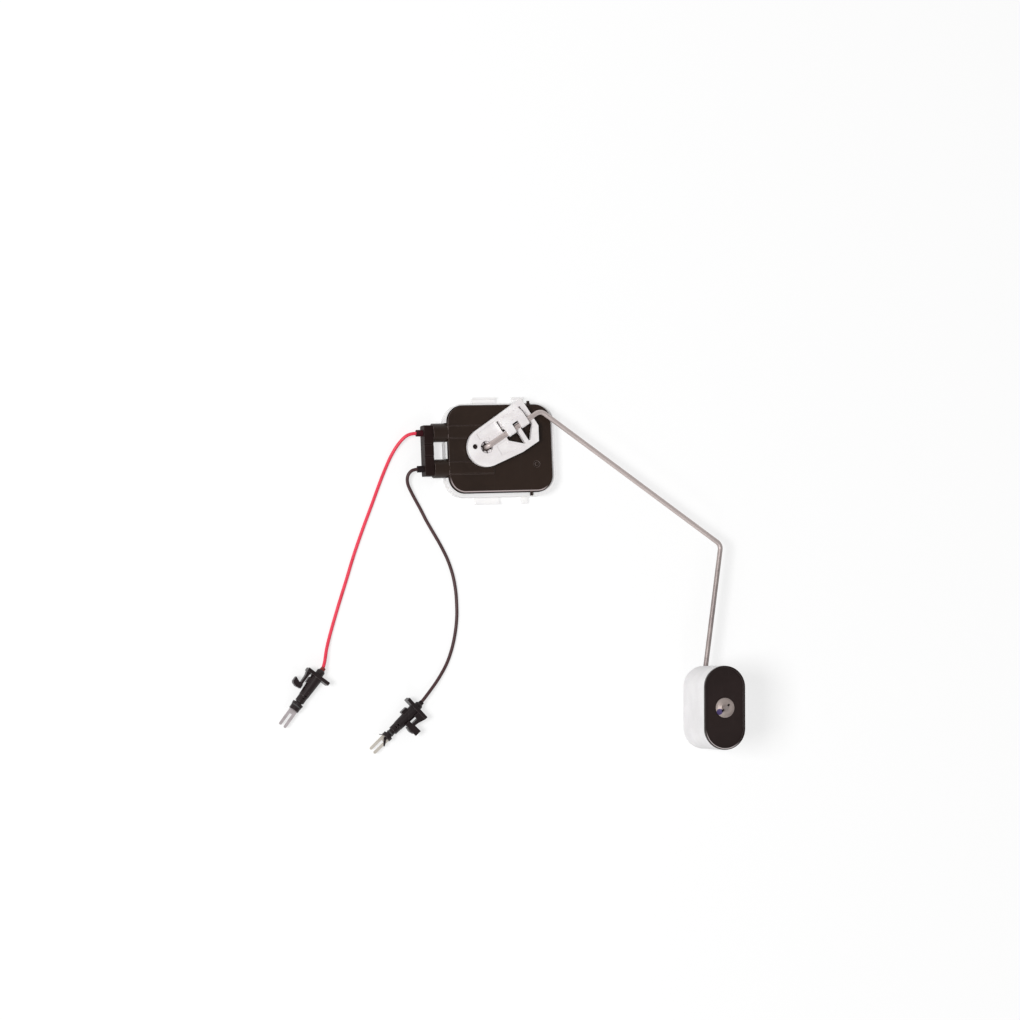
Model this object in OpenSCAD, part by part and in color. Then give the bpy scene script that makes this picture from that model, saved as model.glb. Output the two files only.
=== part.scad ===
// Fuel level sender: a sealed sensor housing, a lever that turns on its face,
// a bent steel rod with a float at its end, and two short leads with plugs.
// The origin is on the lever's pivot axis, at the housing's back face.
// Millimetres. +Z runs from the back face out through the lever.

/* [Housing] */
// Length of the white tray
tray_l = 57; // [54:0.5:66]
// Width of the white tray
tray_w = 47; // [44:0.5:56]
// Depth of the tray
tray_h = 7; // [6.6:0.1:8]
// Mean width of the tray's rim beside the cover
rim_w = 1.3; // [1.3:0.1:2.4]
// Tray floor thickness
tray_floor = 1.6; // [1:0.1:2]
// Tray corner radius
tray_r = 9.8; // [7:0.1:12]
// Distance from the pivot to the middle of the housing, along the housing
pivot_offset = 8.2; // [6:0.1:10]
// Height of the cover's face above the tray's rim
cover_t = 1.6; // [1.2:0.1:2.4]
// Side clearance of the cover inside the tray
cover_gap = 0.4; // [0.2:0.05:0.6]
// Thickness of the cover seal
seal_t = 1; // [0.6:0.1:1.2]
// Width of the ledge that carries the cover seal
ledge_w = 2; // [1.4:0.1:3]
// Width of the two long mounting tabs
tab_w = 12.5; // [10:0.5:16]
// Reach of the mounting tabs beyond the tray
tab_reach = 3.4; // [1.6:0.1:4]

/* [Terminals] */
// Outer diameter of a terminal barrel
barrel_d = 9.4; // [8.6:0.1:9.6]
// Distance between the two barrels
barrel_pitch = 18; // [16:0.2:22]
// Height of the barrels' axes above the back face
barrel_z = 4.8; // [4.8:0.05:5]
// Length of a barrel outside the tray
barrel_out = 6.3; // [5:0.1:8]
// Bore of a barrel
barrel_bore = 5.2; // [4.6:0.1:5.6]
// Thickness of the retainer along the leads
retainer_t = 4.7; // [4:0.1:8]
// Length of the retainer across the barrels
retainer_l = 25.4; // [24.8:0.2:30]
// Height of the retainer
retainer_h = 7.8; // [7.4:0.1:9]

/* [Lever] */
// Thickness of the lever
lever_t = 3; // [2.6:0.1:3.6]
// Gap between the cover's face and the lever
lever_gap = 1.2; // [1:0.1:1.6]
// Radius of the lever's hub
hub_r = 9.9; // [8.6:0.1:11]
// Length of the lever from its pivot to its end
lever_l = 28.7; // [27.6:0.1:31]
// Diameter of the opening in the hub
hub_well_d = 6.3; // [5.8:0.1:6.8]
// Diameter of the pivot post
post_d = 3.8; // [3.7:0.05:4.2]
// Diameter of the groove near the post's top
groove_d = 3.4; // [3.2:0.05:3.6]
// Diameter of the lever's magnet
magnet_d = 3.4; // [3:0.1:4]
// Diameter of the sight hole over the magnet
sight_d = 2.6; // [2:0.1:2.8]

/* [Rod and float] */
// Diameter of the rod
rod_d = 2.5; // [2:0.1:2.6]
// Radius of the rod's bends, at its centre line
bend_r = 4; // [2.8:0.1:5]
// Radius of the two end bends, at the centre line
end_bend_r = 2.2; // [2:0.1:2.4]
// Length of the float
float_l = 41.8; // [32:0.2:52]
// Width of the float
float_w = 21.4; // [18:0.2:26]
// Depth of the float along the rod's end
float_h = 33; // [20:0.5:40]
// Float wall thickness
float_wall = 1.2; // [0.8:0.1:1.6]
// Diameter of the push nut
nut_d = 9.8; // [8:0.1:12]

/* [Leads and plugs] */
// Outer diameter of a lead
lead_d = 1.7; // [1.4:0.1:2]
// Width of a plug's flange
flange_w = 12.8; // [12:0.2:15]
// Height of a plug's flange
flange_h = 6.8; // [6.8:0.1:8]
// Length of a fork's tines
tine_l = 7.5; // [5:0.1:10]
// Width over a fork's two tines
fork_w = 4.3; // [3.6:0.1:5]
// Width of one tine
tine_w = 1.5; // [1.1:0.1:1.7]
// Thickness of the fork's sheet
fork_t = 0.7; // [0.5:0.05:0.9]

/* [Hidden] */
$fn = 64;
// Overshoot of a cutting tool past the face that it cuts
cut = 1;
// Clearances: a running fit, a push-in fit, and a gap between separate parts
run_gap = 0.05;
fit_gap = 0.05;
part_gap = 0.2;

// Housing: its middle seen from the pivot, and the levels of its faces
mid = [pivot_offset, -0.6];
tray_mid = mid + [0.4, -0.6];
cover_l = tray_l - 2 * (rim_w + cover_gap);
cover_w = tray_w - 2 * (rim_w + cover_gap);
cover_r = tray_r - rim_w - cover_gap;
cover_top = tray_h + cover_t;
skirt_w = ledge_w - cover_gap;
ledge_top = tray_h - 2.4;
seal_top = ledge_top + seal_t;
tray_left = tray_mid[0] - tray_l / 2;
rim_y = tray_w / 2;
tab_t = 2;

// Terminal end: barrel axes and the stations along them
barrel_mid = -0.9;
barrel_y = [barrel_mid + barrel_pitch / 2, barrel_mid - barrel_pitch / 2];
barrel_r = barrel_d / 2;
barrel_in = mid[0] - cover_l / 2 + fit_gap;
barrel_end = tray_left - barrel_out;
spigot_r = barrel_bore / 2 + 0.6;
retainer_end = barrel_end - part_gap - retainer_t;
retainer_back = 1.2;
spigot_end = retainer_end + retainer_back + part_gap;
seal_stub = 3.2;
seal_neck_r = 1.65;
hump_end = 4.6;
hump = [6.6, 5.6, lever_gap - 0.4];
bore_end = barrel_in - 1.6;
seal_l = 4;

// Sensing stack on the tray's floor: its middle, and the ceramic plate's length, width and thickness
stack_mid = [mid[0] + 2, mid[1]];
plate = [34, 24, 0.64];
spacer_t = 0.4;
plate_top = tray_floor + plate[2];
blade_rise = 1.4;

// Lever levels and the rod's plane; the hub's tongues lie in the groove under the post's head
lever_z = cover_top + lever_gap;
lever_top = lever_z + lever_t;
tongue_z = lever_z + 0.4;
tongue_t = 0.6;
head_z = tongue_z + tongue_t + 0.1;
head_t = 0.6;
rod_r = rod_d / 2;
rod_z = head_z + head_t + 0.4 + rod_r;
rod_angle = 32;
well_r = hub_well_d / 2;
channel_r = rod_r + run_gap;
post_floor = cover_top - 3;
pivot_tip = post_floor + 1.1;

// Travel of the lever either side of the pose that is drawn
swing_up = 8;
swing_down = 80;
key_half = 10;
stop_slack = 1;
key_r = [well_r + 0.2, well_r + 1.5];
magnet_at = [-4.94, 3.44];

// Rod corners in its plane: at the lever, at the elbow and at the float
elbow_1 = [28.5, 17.8];
elbow_2 = [122, -52.3];
float_at = [107.3, -134.5];
float_turn = -2.5;
float_z = rod_z + end_bend_r + 0.15;
lid_t = 1.6;
lid_z = float_z + float_h - lid_t;
lid_floor = lid_z + 0.9;
nut_z = lid_floor + 0.15;
nut_t = 0.5;
nut_rise = 1.1;
rod_top = nut_z + nut_rise + nut_t + 0.5;

// Plugs: where a lead enters one, and the way that the plug points
red_plug_at = [-85.5, -107.1, flange_h / 2];
red_plug_turn = -128.5;
black_plug_at = [-36.2, -125.9, flange_h / 2];
black_plug_turn = -138.8;

// Stations along a plug, with the flange a little nearer the lead on the black one
collar_start = 1.2;
collar_r = 2.1;
red_flange_at = 4.2;
black_flange_at = 3.5;
flange_t = 1.7;
shell_end = 17;
shell_r = 3;
tail_end = 20.4;
tail_r = 2.35;
neck_r = 1.75;
nose_end = 25.3;
nose_t = 1.8;
nose_r = 2.6;
latch_w = 3.8;
seal_seat_r = 1.4;

// Sealing rings: place along the plug, radius of the seat, and radius of the ring's section
red_ring = [22.9, neck_r, 0.5];
black_ring = [22.2, 1.35, 0.3];

// Fork: a narrow stem in the plug, then the root of the tines
stem_start = 14;
stem_w = 2;
tine_start = nose_end + 2.2;

// A bend is this much fatter than the straight wire, which reaches a little way into it
bend_swell = 0.006;
bend_lap = 0.1;

// Routes of the leads, from the wire seal to the plug
lead_z = lead_d / 2 + 0.05;
seal_mouth = retainer_end - seal_stub;
red_route = [
    [seal_mouth + 3, barrel_y[0], barrel_z], [seal_mouth, barrel_y[0], barrel_z],
    [-38.8, 7.1, 4.3], [-42.8, 3.3, 2.8], [-46.7, -2.8, 1.4], [-50.6, -10.9, lead_z],
    [-53.9, -18.5, lead_z], [-57, -26, lead_z], [-62.4, -38.8, lead_z], [-67.4, -51.5, lead_z],
    [-71.9, -64.3, lead_z], [-76.5, -77.2, lead_z], [-80.7, -89.6, 1.1], [-83.2, -97.6, 2],
    [-84.6, -103.6, 3], [-86, -107.7, red_plug_at[2]], [-87.2, -109.2, red_plug_at[2]]];
black_route = [
    [seal_mouth + 3, barrel_y[1], barrel_z], [seal_mouth, barrel_y[1], barrel_z],
    [-37.3, -10.7, 4.6], [-39.1, -13.2, 3.9], [-39, -16.8, 2.8], [-36.9, -21.4, 1.7],
    [-32.4, -29.8, lead_z], [-29.6, -35.6, lead_z], [-26.3, -41.6, lead_z], [-22.7, -48.2, lead_z],
    [-19.4, -55.4, lead_z], [-17.1, -62.9, lead_z], [-15.9, -70.4, lead_z], [-15.6, -77.3, lead_z],
    [-15.8, -84.1, lead_z], [-16.8, -91.4, lead_z], [-18.8, -99.4, lead_z], [-21.9, -107, 1.2],
    [-26.3, -113.9, 2], [-31.4, -120.2, 3], [-36.4, -125.9, black_plug_at[2]],
    [-38, -127.4, black_plug_at[2]]];

// A plate with round corners
module round_plate(l, w, r, h) {
    linear_extrude(h) round_outline(l, w, r);
}

// The outline of a plate with round corners, from two bars and four discs
module round_outline(l, w, r) {
    square([l - 2 * r, w], center = true);
    square([l, w - 2 * r], center = true);
    for (x = [-1, 1], y = [-1, 1])
        translate([x * (l / 2 - r), y * (w / 2 - r)]) circle(r);
}

// A round bar that points along +X
module bar_x(r, l) {
    rotate([0, 90, 0]) cylinder(r = r, h = l);
}

// A stadium whose edge has the profile given as its child, drawn in radius and height
module stadium(l, w) {
    reach = (l - w) / 2;
    for (s = [0, 1])
        rotate([0, 0, 180 * s]) translate([0, reach, 0]) rotate_extrude(angle = 180) children();
    rotate([90, 0, 0]) linear_extrude(2 * reach, center = true) {
        children();
        mirror([1, 0]) children();
    }
}

// White tray with the mounting tabs that hold the sensor on its bracket
module back_tray() {
    color([0.93, 0.92, 0.90]) difference() {
        union() {
            translate([tray_mid[0], tray_mid[1], 0]) round_plate(tray_l, tray_w, tray_r, tray_h);
            tray_tabs();
        }
        translate([mid[0], mid[1], tray_floor])
            round_plate(cover_l - 2 * skirt_w, cover_w - 2 * skirt_w, cover_r - skirt_w, tray_h);
        translate([mid[0], mid[1], ledge_top])
            round_plate(cover_l + 2 * cover_gap, cover_w + 2 * cover_gap, cover_r + cover_gap, tray_h);
        for (y = barrel_y)
            translate([tray_left - cut, y - barrel_r - fit_gap, -cut])
                cube([barrel_in - tray_left + cut, barrel_d + 2 * fit_gap, tray_h + 2 * cut]);
    }
}

// Hooked tabs low on the long sides, two on top and one below, and a narrow plain tab
module tray_tabs() {
    pin_w = 3.2;
    translate([tray_mid[0] - 6.4, tray_mid[1], 0]) {
        hooked_tab(tab_w, 1);
        hooked_tab(tab_w, -1);
    }
    translate([tray_mid[0] + 11.2, tray_mid[1], 0]) hooked_tab(tab_w / 2, 1);
    translate([tray_mid[0] + 13.2 - pin_w / 2, tray_mid[1] - rim_y - tab_reach, 0])
        cube([pin_w, tab_reach + cut, tab_t]);
}

// A tab of the given width on the side that s names, with a lip at its end
module hooked_tab(w, s) {
    lip = 1;
    translate([-w / 2, s > 0 ? rim_y - cut : -rim_y - tab_reach, 0]) cube([w, tab_reach + cut, tab_t]);
    translate([-w / 2, s > 0 ? rim_y + tab_reach - lip : -rim_y - tab_reach, 0]) cube([w, lip, tab_t + lip]);
}

// Black cover with the two terminal barrels, the pivot post and the lever's stops
module front_cover() {
    color([0.14, 0.12, 0.12]) difference() {
        union() {
            translate([mid[0], mid[1], tray_h]) round_plate(cover_l, cover_w, cover_r, cover_t);
            cover_skirt();
            cover_tabs();
            for (y = barrel_y) translate([0, y, barrel_z]) barrel();
            translate([0, 0, post_floor]) pivot_post();
            stop_wall();
        }
        for (y = barrel_y) translate([0, y, barrel_z]) barrel_hole();
        translate([0, 0, post_floor + 1]) cylinder(r = channel_r, h = head_z + head_t);
        translate([0, 0, head_z]) cylinder(r1 = channel_r, r2 = post_d / 2 - 0.15, h = head_t + 0.01);
        gate_ring();
    }
}

// Shallow ring left on the cover's face beside the terminals' far end
module gate_ring() {
    ring = [0.9, 1.7];
    depth = 0.4;
    translate([mid[0] + 18.7, mid[1] - 8.1, cover_top - depth]) difference() {
        cylinder(r = ring[1], h = depth + cut);
        translate([0, 0, -cut]) cylinder(r = ring[0], h = depth + 3 * cut);
    }
}

// Wall under the cover's edge that presses the seal down
module cover_skirt() {
    translate([mid[0], mid[1], seal_top]) difference() {
        round_plate(cover_l, cover_w, cover_r, tray_h - seal_top + 0.2);
        translate([0, 0, -cut])
            round_plate(cover_l - 2 * skirt_w, cover_w - 2 * skirt_w, cover_r - skirt_w, tray_h);
    }
}

// Two small tabs that reach over the tray's rim
module cover_tabs() {
    tab = [1.3, cover_gap + 1.7, 1.1];
    for (s = [-1, 1])
        translate([mid[0] + 15.6 - tab[0] / 2, mid[1] + s * cover_w / 2 - (s < 0 ? tab[1] : cut), tray_h])
            cube([tab[0], tab[1] + cut, tab[2]]);
}

// One terminal barrel: a full round outside the tray and a ridge over the cover
module barrel() {
    translate([barrel_end, 0, 0]) bar_x(barrel_r, barrel_in - barrel_end - fit_gap);
    translate([spigot_end, 0, 0]) bar_x(spigot_r, barrel_end - spigot_end + 0.2);
    translate([barrel_in - 0.3, 0, cover_top - barrel_z]) rotate([90, 0, 90])
        linear_extrude(hump_end - barrel_in) hump_profile();
}

// Section of the ridge over a barrel, up from inside the cover
module hump_profile() {
    polygon([[-hump[0] / 2, -1], [hump[0] / 2, -1], [hump[0] / 2, 0.2], [hump[1] / 2, hump[2]],
        [-hump[1] / 2, hump[2]], [-hump[0] / 2, 0.2]]);
}

// The barrel's bore for the wire seal and the way through for the terminal's blade
module barrel_hole() {
    translate([spigot_end - cut, 0, 0]) bar_x(barrel_bore / 2, bore_end - spigot_end + cut);
    translate([bore_end - cut, -1.1, blade_rise - 0.4]) cube([7, 2.2, 0.8]);
}

// Pivot post from its floor up: a plain length, a groove for the lever's tongues and a head
module pivot_post() {
    groove = [tongue_z - 0.1 - post_floor, head_z - post_floor];
    cylinder(d = post_d, h = groove[0]);
    cylinder(d = groove_d, h = groove[1] + 0.1);
    translate([0, 0, groove[1]]) cylinder(d = post_d, h = head_t);
}

// Low wall round the post, open over the lever's travel, that stops the lever's key
module stop_wall() {
    from = swing_up + key_half + stop_slack;
    to = 360 - swing_down - key_half - stop_slack;
    rotate([0, 0, from]) rotate_extrude(angle = to - from)
        translate([key_r[0], cover_top - 0.2]) square([key_r[1] - key_r[0], lever_gap - 0.1]);
}

// Rubber seal between the tray's ledge and the cover's skirt
module cover_seal() {
    color([0.25, 0.25, 0.26]) translate([mid[0], mid[1], ledge_top]) difference() {
        round_plate(cover_l, cover_w, cover_r, seal_t);
        translate([0, 0, -cut])
            round_plate(cover_l - 2 * skirt_w, cover_w - 2 * skirt_w, cover_r - skirt_w, seal_t + 2 * cut);
    }
}

// Ceramic plate that carries the resistor track, on the tray's floor
module ceramic_substrate() {
    color([0.90, 0.89, 0.84]) translate([stack_mid[0], stack_mid[1], tray_floor + plate[2] / 2])
        cube(plate, center = true);
}

// Frame that holds the comb just clear of the ceramic plate
module comb_spacer() {
    frame = [plate[0] - 6, plate[1] - 2];
    bar_w = 2;
    color([0.80, 0.68, 0.40]) translate([stack_mid[0], stack_mid[1], plate_top]) linear_extrude(spacer_t)
        difference() {
            square(frame, center = true);
            square([frame[0] - 2 * bar_w, frame[1] - 2 * bar_w], center = true);
        }
}

// Soft magnetic comb whose fingers the magnet pulls down on the track
module contact_comb() {
    fingers = 14;
    sheet = [plate[0] - 8, plate[1] - 5.5];
    back_w = 4.5;
    pitch = (sheet[0] - 3) / fingers;
    slit = 0.5;
    sheet_t = 0.15;
    color([0.76, 0.77, 0.78]) translate([stack_mid[0], stack_mid[1], plate_top + spacer_t])
        linear_extrude(sheet_t) {
            translate([-sheet[0] / 2, sheet[1] - 8 - back_w]) square([sheet[0], back_w]);
            for (i = [0 : fingers - 1])
                translate([(i - fingers / 2) * pitch, -8]) square([pitch - slit, sheet[1] - back_w + 0.5]);
        }
}

// Black bar that closes both barrels behind the wire seals
module terminal_retainer() {
    edge = 1;
    notch = [1.2, 0.4];
    retainer_top = barrel_z + retainer_h / 2;
    color([0.16, 0.14, 0.14]) difference() {
        translate([retainer_end, barrel_mid, barrel_z]) rotate([90, 0, 90])
            linear_extrude(retainer_t) round_outline(retainer_l, retainer_h, edge);
        for (y = barrel_y) translate([retainer_end, y, barrel_z]) {
            translate([spigot_end - part_gap - retainer_end, 0, 0]) bar_x(spigot_r + fit_gap, retainer_t);
            translate([-cut, 0, 0]) bar_x(seal_neck_r + fit_gap, retainer_t);
        }
        for (s = [-1, 1])
            translate([retainer_end - cut, barrel_mid + s * 3 - notch[0] / 2, retainer_top - notch[1]])
                cube([retainer_t + 2 * cut, notch[0], notch[1] + cut]);
    }
}

// Crimped terminal in its barrel, with a blade that runs in over the seal and down to the ceramic plate
module terminal(y) {
    crimp = [spigot_end + seal_l + 0.2, bore_end - 0.2];
    blade_t = 0.6;
    leg_x = stack_mid[0] - plate[0] / 2 + 0.5;
    leg_z = plate_top + 0.06;
    color([0.82, 0.72, 0.50]) translate([0, y, 0]) {
        translate([crimp[0], 0, barrel_z]) bar_x(1.5, crimp[1] - crimp[0]);
        translate([crimp[1] - 0.4, -1, barrel_z + blade_rise - blade_t / 2])
            cube([leg_x + blade_t - crimp[1] + 0.4, 2, blade_t]);
        translate([leg_x, -1, leg_z]) cube([blade_t, 2, barrel_z + blade_rise - leg_z]);
    }
}

module red_terminal() { terminal(barrel_y[0]); }
module black_terminal() { terminal(barrel_y[1]); }

// Rubber seal on a lead: a ribbed body in the barrel and a neck through the retainer
module wire_seal(y) {
    body_r = barrel_bore / 2 - fit_gap;
    translate([spigot_end, y, barrel_z]) difference() {
        union() {
            translate([0.1, 0, 0]) bar_x(body_r, seal_l);
            translate([seal_mouth - spigot_end, 0, 0]) bar_x(seal_neck_r, spigot_end - seal_mouth + 0.3);
        }
        translate([seal_mouth - spigot_end - cut, 0, 0])
            bar_x(lead_d / 2, spigot_end - seal_mouth + 5 + 2 * cut);
    }
}

module red_wire_seal() { color([0.45, 0.10, 0.13]) wire_seal(barrel_y[0]); }
module black_wire_seal() { color([0.10, 0.09, 0.09]) wire_seal(barrel_y[1]); }

// A smooth curve through four neighbouring points, at the share t of its middle span
function spline_at(a, b, c, d, t) =
    0.5 * (2 * b + (c - a) * t + (2 * a - 5 * b + 4 * c - d) * t * t + (3 * b - a - 3 * c + d) * t * t * t);

// Every route point and the middle of each span
function smooth(p) = [for (i = [0 : len(p) - 2], t = [0, 0.5])
    spline_at(p[max(i - 1, 0)], p[i], p[i + 1], p[min(i + 2, len(p) - 1)], t), p[len(p) - 1]];

function unit(v) = v / norm(v);

// The direction of the line at ring i
function heading(q, i) = unit(q[min(i + 1, len(q) - 1)] - q[max(i - 1, 0)]);

// One ring of the tube, square to the line
function tube_ring(q, i, r, n) =
    let (f = heading(q, i), side = unit(cross(f, [0, 0, 1])), up = cross(side, f))
    [for (k = [0 : n - 1]) q[i] + r * (cos(360 * (k + 0.5) / n) * side + sin(360 * (k + 0.5) / n) * up)];

// A tube swept along a route
module tube(route, d) {
    n = 8;
    q = smooth(route);
    rings = len(q);
    points = [for (i = [0 : rings - 1]) each tube_ring(q, i, d / 2, n)];
    walls = [for (i = [0 : rings - 2], k = [0 : n - 1], h = [0, 1])
        let (a = i * n + k, b = i * n + (k + 1) % n) h == 0 ? [a, b, b + n] : [a, b + n, a + n]];
    ends = [[for (k = [n - 1 : -1 : 0]) k], [for (k = [0 : n - 1]) (rings - 1) * n + k]];
    polyhedron(points, concat(walls, ends));
}

module red_lead() { color([0.86, 0.18, 0.24]) tube(red_route, lead_d); }
module black_lead() { color([0.24, 0.23, 0.23]) tube(black_route, lead_d); }

// Children are drawn along +X and lie at a plug's place; the black one lies the other way up
module on_red_plug() {
    translate(red_plug_at) rotate([0, 0, red_plug_turn]) children();
}

module on_black_plug() {
    translate(black_plug_at) rotate([0, 0, black_plug_turn]) rotate([180, 0, 0]) children();
}

// Plug body: collar, flange, round shell, ringed nose and sprung latch, in one moulding
module plug_body(flange_at, ring, keyed) {
    flange_end = flange_at + flange_t;
    difference() {
        union() {
            translate([collar_start, 0, 0]) rotate([0, 90, 0]) cylinder(r1 = 1.5, r2 = collar_r, h = 0.7);
            translate([collar_start + 0.7, 0, 0]) bar_x(collar_r, flange_at - collar_start);
            translate([flange_at, -flange_w / 2, -flange_h / 2]) cube([flange_t, flange_w, flange_h]);
            translate([flange_end - 0.2, 0, 0]) rotate([0, 90, 0])
                cylinder(r1 = shell_r, r2 = tail_r + 0.15, h = shell_end - flange_end + 0.2);
            translate([shell_end - 0.2, 0, 0]) bar_x(tail_r, tail_end - shell_end + 0.2);
            translate([tail_end - 0.2, 0, 0]) bar_x(neck_r, nose_end - tail_end + 0.2);
            translate([nose_end - nose_t, 0, 0]) bar_x(nose_r, nose_t);
            translate([flange_at, 0, 0]) latch();
            if (keyed) {
                translate([flange_at, 0, 0]) plug_key();
                nose_slivers();
            }
            if (!keyed) {
                translate([ring[0] - ring[2] - 1.1, 0, 0]) bar_x(nose_r + 0.3, 1);
                translate([7.6, -shell_r - 0.35, -1.5]) cube([3, 2, 3]);
            }
        }
        translate([collar_start - cut, 0, 0]) bar_x(seal_seat_r, 1.8 + cut);
        translate([collar_start + 1, 0, 0]) bar_x(lead_d / 2 + fit_gap, 3);
        translate([stem_start - fit_gap, -stem_w / 2 - fit_gap, -fork_t / 2 - fit_gap])
            cube([nose_end, stem_w + 2 * fit_gap, fork_t + 2 * fit_gap]);
        for (x = [16.3, 17.8], s = [-1, 1]) translate([x, -0.2, s * 2 - 1.5]) cube([0.7, 1.4, 3]);
        if (keyed) translate([ring[0], 0, 0]) rotate([0, 90, 0]) ring_seat(ring);
    }
}

// Groove in the nose for a sealing ring that lies flush
module ring_seat(ring) {
    half = ring[2] + 0.1;
    rotate_extrude() translate([ring[1], -half]) square([neck_r, 2 * half]);
}

// Latch, seen from the flange's outer face: a sprung arm with a hook that curls out
module latch() {
    arm = [[flange_t - 0.2, -6.2], [flange_t - 0.2, -4], [8.2, -4.2], [9, -3.7], [10.8, -3.7], [11.2, -6.4],
        [10.6, -8.2], [9.8, -8.9], [7.2, -8.9], [8, -7], [8.4, -5.9], [8, -5.3], [3.8, -5.5]];
    translate([0, 0, -latch_w / 2]) linear_extrude(latch_w) polygon(arm);
}

// Thin tongue and pin of the moulding that lie out over the fork's root
module nose_slivers() {
    at = nose_end - 0.3;
    fork_clear = fork_t / 2 + 0.15;
    translate([0, 0, -fork_clear - 0.5]) linear_extrude(0.5) {
        polygon([[at, 0.9], [at + 1.3, 0.8], [at + 3.7, -1.6], [at + 4.2, -2.5], [at + 3.4, -2.4],
            [at + 1.2, -0.8], [at, -0.6]]);
        polygon([[at, 1], [at + 1.8, 3.6], [at + 1.5, 3.8], [at, 1.6]]);
    }
}

// Web and plate beside the latch and a nub on the shell, which only the black plug has
module plug_key() {
    web = [[0, -6.9], [1.5, -6.9], [5.5, -5.7], [7.4, -5.5], [7.2, -9.5], [10.6, -9.5], [10.7, -1.9],
        [7.9, -1.9], [7.9, -3.9], [4.4, -3.9], [4.4, -1.9], [0, -1.9]];
    web_t = 1.2;
    translate([0, 0, -latch_w / 2 - web_t]) linear_extrude(web_t + 0.1) polygon(web);
    translate([4.3, 0, -1.8]) cube([3.5, 4, 3.6]);
}

module red_plug_body() {
    color([0.13, 0.12, 0.12]) on_red_plug() plug_body(red_flange_at, red_ring, false);
}
module black_plug_body() {
    color([0.13, 0.12, 0.12]) on_black_plug() plug_body(black_flange_at, black_ring, true);
}

// Seal where the lead enters the plug's collar: a cone outside and a plain length inside
module plug_seal() {
    r = seal_seat_r - fit_gap;
    out = 1.5;
    difference() {
        union() {
            translate([collar_start - out, 0, 0]) rotate([0, 90, 0])
                cylinder(r1 = lead_d / 2 + 0.3, r2 = r, h = out);
            translate([collar_start, 0, 0]) bar_x(r, 1.7);
        }
        translate([collar_start - out - cut, 0, 0]) bar_x(lead_d / 2 + fit_gap, out + 1.7 + 2 * cut);
    }
}

module red_plug_seal() { color([0.40, 0.13, 0.12]) on_red_plug() plug_seal(); }
module black_plug_seal() { color([0.12, 0.11, 0.11]) on_black_plug() plug_seal(); }

// Sealing ring on the plug's nose
module plug_ring(ring) {
    translate([ring[0], 0, 0]) rotate([0, 90, 0]) rotate_extrude()
        translate([ring[1] + ring[2] + 0.02, 0]) circle(ring[2], $fn = 24);
}

module red_plug_ring() { color([0.30, 0.29, 0.28]) on_red_plug() plug_ring(red_ring); }
module black_plug_ring() { color([0.30, 0.29, 0.28]) on_black_plug() plug_ring(black_ring); }

// Tinned fork terminal: a stem held in the nose, a root and two tines with round ends
module fork() {
    tip = tine_start + tine_l - tine_w / 2;
    tine_y = (fork_w - tine_w) / 2;
    translate([0, 0, -fork_t / 2]) linear_extrude(fork_t) {
        translate([stem_start, -stem_w / 2]) square([nose_end - stem_start + 0.5, stem_w]);
        translate([nose_end + 0.1, -fork_w / 2]) square([tine_start - nose_end, fork_w]);
        for (s = [-1, 1]) {
            translate([tine_start - 0.2, s * tine_y - tine_w / 2]) square([tip - tine_start + 0.2, tine_w]);
            translate([tip, s * tine_y]) circle(d = tine_w);
        }
    }
}

module red_fork() { color([0.72, 0.70, 0.68]) on_red_plug() fork(); }
module black_fork() { color([0.72, 0.70, 0.68]) on_black_plug() fork(); }

// Children are drawn with the rod along +X, and turned to where it lies
module on_lever() {
    rotate([0, 0, rod_angle]) children();
}

// Outline of the lever: a round hub that runs out to a cut-off tail
module lever_outline() {
    tail = [[lever_l, 10.7], [lever_l, -5.6], [lever_l - 4.2, -12.3], [14.4, -12.3]];
    lean_up = atan2(tail[0][1] - hub_r, tail[0][0]);
    lean_down = atan2(tail[3][1] + hub_r, tail[3][0]);
    circle(hub_r);
    polygon([[0, 0], hub_r * [-sin(lean_up), cos(lean_up)], tail[0], tail[1], tail[2], tail[3],
        hub_r * [sin(lean_down), -cos(lean_down)]]);
}

// White lever: magnet hub, rod channel, clip over the rod and the pierced tail
module lever() {
    window_1 = [[11.3, -1.6], [18, -1.6], [18, -9.2], [17.3, -9.2], [11.3, -3.5]];
    window_2 = [[20.2, -1.6], [lever_l - 2.2, -1.6], [lever_l - 2.2, -3.4], [21.4, -9.2], [20.2, -9.2]];
    clip_x = [12.2, lever_l - 3.9];
    slits = [[11.1, clip_x[0]], [clip_x[1], lever_l - 2.7]];
    notch = [16.6, 20.2];
    color([0.90, 0.89, 0.87]) on_lever() difference() {
        union() {
            translate([0, 0, lever_z]) linear_extrude(lever_t) lever_outline();
            translate([clip_x[0], 0, 0]) rotate([90, 0, 90])
                linear_extrude(clip_x[1] - clip_x[0]) clip_profile();
            lever_key();
        }
        translate([0, 0, lever_z - cut]) cylinder(d = post_d + 2 * run_gap, h = tongue_z - lever_z + cut);
        translate([0, 0, lever_z]) cylinder(d = groove_d + 2 * run_gap, h = lever_t);
        translate([0, 0, tongue_z + tongue_t]) cylinder(r = well_r, h = lever_t);
        tongue_slots();
        translate([0, 0, rod_z]) bar_x(channel_r, lever_l + cut);
        translate([0, 0, lever_z - cut]) linear_extrude(2 * lever_t) {
            polygon(window_1);
            polygon(window_2);
            for (x = slits) translate([x[0], 1.6]) square([x[1] - x[0], 6.2]);
        }
        translate([slits[0][0], channel_r + 0.2, lever_z - cut])
            cube([slits[1][1] - slits[0][0], 1.1, lever_t + cut]);
        translate([notch[0], -4, lever_top]) cube([notch[1] - notch[0], 6.4, 6]);
        translate([notch[0], channel_r + 0.2, lever_z - cut])
            cube([notch[1] - notch[0], 1.1, 2 * lever_t + cut]);
        magnet_pocket();
        panels();
    }
}

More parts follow.
